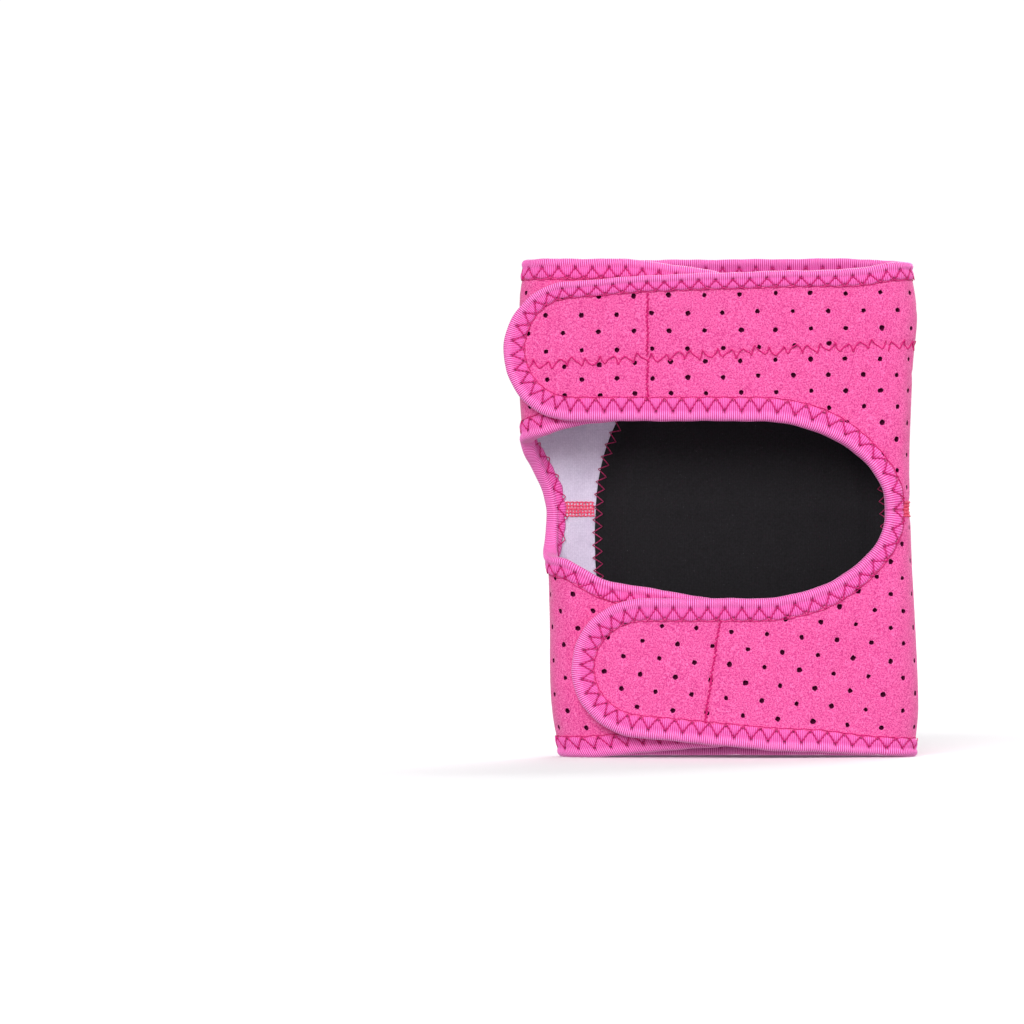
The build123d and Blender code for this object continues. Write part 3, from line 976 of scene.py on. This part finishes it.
# ---- bound edges
lengths = [lengths_along(edge)[-1] for edge in bound_edges]
stops = np.cumsum([0, *lengths]) * sleeve_edge.end / np.sum(lengths)
EDGE_NAMES = ("bottom", "lower_wing", "notch", "upper_wing", "top")
for name, start, stop in zip(EDGE_NAMES, stops, stops[1:]):
    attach(tape(f"{name}_tape", sleeve_edge, start, stop, [f"{name}_binding"]), "sleeve")
sleeve_runs = tape_stitches(sleeve_edge, 0.5, sleeve_edge.end - 0.5)
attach(sewn("sleeve_tape_stitches", PINK_THREAD, sleeve_runs), "sleeve")


def tab_part(level):
    """Places along a strap's edge that are on its tab."""
    edge = STRAP_EDGE[level]
    return edge.along[edge.points[:, 0] < TAB_SPLIT_X[level]]


for level, edge in STRAP_EDGE.items():
    first, last = tab_part(level)[[0, -1]]
    runs = {"strap": [(edge.along[0], first), (last, edge.end)], "tab": [(first, last)]}
    for end, ranges in runs.items():
        thread_runs = []
        for number, (start, stop) in enumerate(ranges, 1):
            nodes = [f"{level}_{end}_binding"] if number == 1 else []
            if (level, end, number) == ("upper", "strap", 2):
                nodes = ["opening_binding"]
            join(tape(f"{level}_{end}_tape_{number}", edge, start, stop, nodes), end)
            thread_runs += tape_stitches(edge, start, stop)
        join(sewn(f"{level}_{end}_tape_stitches", PINK_THREAD, thread_runs), end)


# ---- seams
def seam_zigzag(line, start, stop):
    """A thread run of the top band's seam: a wide zigzag over the joint."""
    flat = zigzag(line, start, stop, 5.9, -2.0, 2.0)
    flat[:, 1] += 0.5 * np.sin(flat[:, 0] * 0.37) + 0.3 * np.sin(flat[:, 0] * 1.9)
    flat[:, 0] += 0.7 * np.sin(flat[:, 0] * 0.83)
    return line.surface, flat, -0.15, 0.34


wing_end = float(round_wall(WING_TIP_X, BAND_Z, "back"))
band_line = Line(sleeve, [(COLUMN_S, BAND_Z), (wing_end - TAPE_W, BAND_Z)])
band_seam = sewn("sleeve_band_seam", PINK_THREAD, [seam_zigzag(band_line, 0, band_line.end)])
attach(band_seam, "sleeve")

strap_seam = Line(strap, [(x, upper_seam_z(x)) for x in (SPLIT_X, -85.0)])
split = strap_seam.along[strap_seam.points[:, 0] < TAB_SPLIT_X["upper"]][0]
for end, start, stop in (("strap", 0, split), ("tab", split, strap_seam.end)):
    piece = sewn(f"upper_{end}_band_seam", PINK_THREAD, [seam_zigzag(strap_seam, start, stop)])
    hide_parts(f"upper_{end}_seam_thread")
    join(piece, end)

KNEE_ROWS = (-3.1, -1.55, 0.0, 1.55, 3.1)


def flatlock(name, line, depth, node):
    """Five rows of chain stitches with threads crossing between the outer rows."""
    out = -1 if depth < WALL_T / 2 else 1
    crossing = zigzag(line, 0, line.end, 1.5, KNEE_ROWS[0] - 0.3, KNEE_ROWS[-1] + 0.3, 5)
    runs = [(line.surface, crossing, depth + out * 0.1, 0.24)]
    along = np.arange(0, line.end, 0.4)
    for row, inset in enumerate(KNEE_ROWS):
        chain = np.abs(np.sin(pi * along / 2.2 + row))
        flat = line.flat(along, inset + 0.18 * np.sin(2 * pi * along / 2.2 + row))
        runs.append((line.surface, flat, depth + out * (0.15 + 0.15 * chain), 0.34))
    piece = sewn(name, CORAL_THREAD, runs)
    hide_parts(node)
    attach(piece, "sleeve")


notch_s = float(round_wall(-73.0, KNEE_Z, "front"))
knee_line = Line(sleeve, [(-11.0, KNEE_Z), (notch_s - TAPE_W + 0.5, KNEE_Z)])
flatlock("knee_seam", knee_line, 0.0, "seam_threads")
cover_edge_x = PAD_X - PAD_HALF_X - 0.5
inner_start = float(round_wall(cover_edge_x, KNEE_Z, "front"))
inner_line = Line(sleeve, [(inner_start, KNEE_Z), (notch_s - TAPE_W + 1.0, KNEE_Z)])
flatlock("inner_knee_seam", inner_line, WALL_T, "inner_knee_seam_threads")


# ---- knee pad
def pad_ring(ratio, count=720):
    """The x and z of the pad's outline, scaled by a ratio about its middle."""
    angle = np.linspace(0, 2 * pi, count + 1)
    across, up = (np.sign(v) * np.abs(v) ** (2 / PAD_POWER) for v in (np.cos(angle), np.sin(angle)))
    return PAD_X + ratio * PAD_HALF_X * across, PAD_Z + ratio * PAD_HALF_Z * up


def ring_line(ratio):
    x, z = pad_ring(ratio)
    return Line(sleeve, paired(round_wall(x, z, "front"), z))


def ring_stitches(ring, pitch, low, high, per_leg):
    """A zigzag right round a ring, its pitch eased so that its ends meet."""
    pitch = ring.end / round(ring.end / pitch)
    return zigzag(ring, 0, ring.end + 0.3 * pitch / per_leg, pitch, low, high, per_leg)


ring_zigzag = ring_stitches(ring_line(1.0), 3.2, -3.3, 3.3, 5)
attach(sewn("pad_ring_stitches", PINK_THREAD, [(sleeve, ring_zigzag, -0.1, 0.27)]), "sleeve")

edge_zigzag = ring_stitches(ring_line(0.985), 5.7, -2.1, 2.3, 6)
edge_x, _, edge_z = sleeve_base(edge_zigzag, 0.0).T
over_cover = smooth_step(pad_ratio(edge_x, edge_z), 1.012, 0.99)
edge_run = (sleeve, edge_zigzag, WALL_T + 0.15 + 0.95 * over_cover, 0.27)
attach(sewn("cover_edge_stitches", DARK_THREAD, [edge_run]), "sleeve")


def pad_face(x, z, ratio):
    """The pattern points and depths of the padded cover's face."""
    flat = paired(round_wall(x, z, "front"), z)
    face_y = 9.6 + (z - PAD_Z) ** 2 / 1234.0  # nearest to the straps at the pad's middle
    full = sleeve_base(flat, 0.0)[:, 1] - face_y
    edge = WALL_T + 0.9 * smooth_step(ratio, 1.002, 0.985)
    rise = 1 - smooth_step(ratio, 0.80, 0.95)
    swell = 0.25 * np.sin(x / 13.0 + 0.6) * np.sin(z / 19.0) * rise
    return flat, edge + (full - edge) * rise + swell


def knee_pad():
    """The black knit cover, stretched over the foam pad and sewn down round its edge."""
    hem = [1.002, 0.997, 0.99, 0.982]
    ratios = np.concatenate([hem, np.linspace(0.972, 0.78, 22), np.linspace(0.74, 0.02, 26)])
    around = 180
    vertices = []
    for is_face in (True, False):
        for ratio in ratios:
            x, z = (v[:-1] for v in pad_ring(ratio, around))
            flat, depth = pad_face(x, z, ratio)
            vertices.append(sleeve(flat, depth if is_face else np.full(around, WALL_T - 0.3)))
    under = len(ratios) * around  # where the hidden side's vertices start
    face = [*ring_quads(len(ratios), around), tuple(range(under - around, under))]
    faces = face + [tuple(under + i for i in reversed(corners)) for corners in face]
    for k in range(around):
        n = (k + 1) % around
        faces.append((k, under + k, under + n, n))
    piece = new_piece("knee_pad_cover", np.vstack(vertices), faces, [COVER], angle=60)
    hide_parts("pad_cover", "knee_pad_foam")
    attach(piece, "sleeve")


knee_pad()


# ---- hook patches
PATCH_INSET = 10.8  # from the tab's edge
HOOK_STEM = np.array([(0.0, 0.4), (0.0, 0.85), (0.18, 1.15), (0.5, 1.1)])  # (sideways, depth)


def hook_patch(level):
    """A plastic backing under the tab with rows of small bent hooks."""
    outline = STRAP_EDGE[level].flat(tab_part(level), PATCH_INSET)
    (x, z), lean = PATCHES[level]
    outline = clipped(outline, (x - 1, z), (cos(lean), -sin(lean)))
    flat, triangles, _ = punched(outline, [], rng)
    count = len(flat)
    backing = [strap(flat, np.full(count, depth)) for depth in (WALL_T - 0.1, WALL_T + 0.45)]
    upper, lower, rim = sheet_faces(triangles, count)
    parts = [(np.vstack(backing), upper + lower + rim)]
    spots = staggered(outline, 1.9, 1.5)
    spots = spots[gap_to(outline, spots) > 0.8]
    up = np.tile([0.0, 0.0, 1.0], (len(HOOK_STEM), 1))
    for spot in spots:
        centres = strap(spot + HOOK_STEM * (1, 0), WALL_T + HOOK_STEM[:, 1])
        across = unit(np.cross(np.gradient(centres, axis=0), up))
        parts.append(tube(centres, across, up, 0.16, 4))
    piece = new_piece(f"{level}_hooks", *merged(parts), [HOOKS], angle=60)
    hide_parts(f"{level}_hook_patch")
    join(piece, "tab")


def patch_stitches(level):
    """The running stitch that holds the hook patch, sunk into the outer face."""
    seam = Line(strap, PATCH_SEAM[level])
    along = np.arange(0, seam.end, 0.25)
    runs = []
    for side in (-0.28, 0.28):
        flat = seam.flat(along, side + 0.2 * np.sin(along / 2.3) + 0.22 * np.sin(along * 2.9 + side))
        runs.append((strap, flat, 0.02 - 0.18 * np.sin(2 * pi * along / 3.0 + 4 * side), 0.3))
    join(sewn(f"{level}_patch_stitches", PINK_THREAD, runs), "tab")


for level in PATCHES:
    hook_patch(level)
    patch_stitches(level)


# ---- stage, lights and camera
def staged(name, vertices, faces, item):
    mesh = bpy.data.meshes.new(name)
    mesh.from_pydata(vertices, [], faces)
    mesh.materials.append(item)
    made = linked(name, mesh)
    made.visible_diffuse = False
    made.visible_glossy = False
    return made


def floor():
    paper = Finish("floor_paper", 0.9, specular=0.0)
    grain = paper.noise(400.0)
    white = paper.done(paper.shades(grain, (0.3, (246, 246, 247)), (0.7, (250, 250, 251))))
    reach = 12.0
    corners = [(-reach, -reach, 0), (reach, -reach, 0), (reach, reach, 0), (-reach, reach, 0)]
    staged("floor", corners, [(0, 1, 2, 3)], white)


def backdrop():
    """A plain white wall all round, that lights nothing."""
    glow = Finish("backdrop_white", 0.5)
    black, white = (0.0, 0.0, 0.0, 1.0), (1.0, 1.0, 1.0, 1.0)
    glow.feed(glow.shader, {"Base Color": black, "Emission Color": white, "Emission Strength": 1})
    sides, radius = 48, 11.0
    angles = [2 * pi * i / sides for i in range(sides)]
    around = [(radius * cos(angle), radius * sin(angle)) for angle in angles]
    vertices = [(x, y, z) for z in (-1.0, 30.0) for x, y in around]
    walls = [(i, (i + 1) % sides, sides + (i + 1) % sides, sides + i) for i in range(sides)]
    ceiling = tuple(range(sides, 2 * sides))
    wall = staged("backdrop", vertices, [*walls, ceiling], glow.material)
    wall.visible_shadow = False


def soft_sun(name, direction, strength, spread):
    """A broad light from a direction."""
    data = bpy.data.lights.new(name, "SUN")
    data.energy = strength
    data.angle = radians(spread)
    turn = (-Vector(direction)).to_track_quat("-Z", "Y")
    linked(name, data).rotation_euler = turn.to_euler()


floor()
backdrop()
soft_sun("key", (-0.3, -0.9, 0.5), 2.1, 30)
soft_sun("fill", (0.95, -0.35, 0.3), 1.1, 50)
soft_sun("back", (0.35, 0.85, 0.55), 2.0, 40)

scene = bpy.context.scene
scene.world = bpy.data.worlds.new("studio")
scene.world.use_nodes = True
sky = scene.world.node_tree.nodes["Background"].inputs
sky["Color"].default_value = (1.0, 1.0, 1.0, 1.0)
sky["Strength"].default_value = 0.52
scene.view_settings.view_transform = "Standard"

CAMERA_X, CAMERA_Z = -0.08885, 0.1107  # the brace stands right of and below the frame's middle
CAMERA_Y = -3.02
VIEW_WIDTH = 0.4608  # across the frame, at the straps
camera_data = bpy.data.cameras.new("camera")
camera_data.sensor_width = 36.0
camera_data.lens = 36.0 * (-CAMERA_Y - 0.02) / VIEW_WIDTH
camera = linked("camera", camera_data)
camera.location = (CAMERA_X, CAMERA_Y, CAMERA_Z)
camera.rotation_euler = (pi / 2, 0, 0)
scene.camera = camera
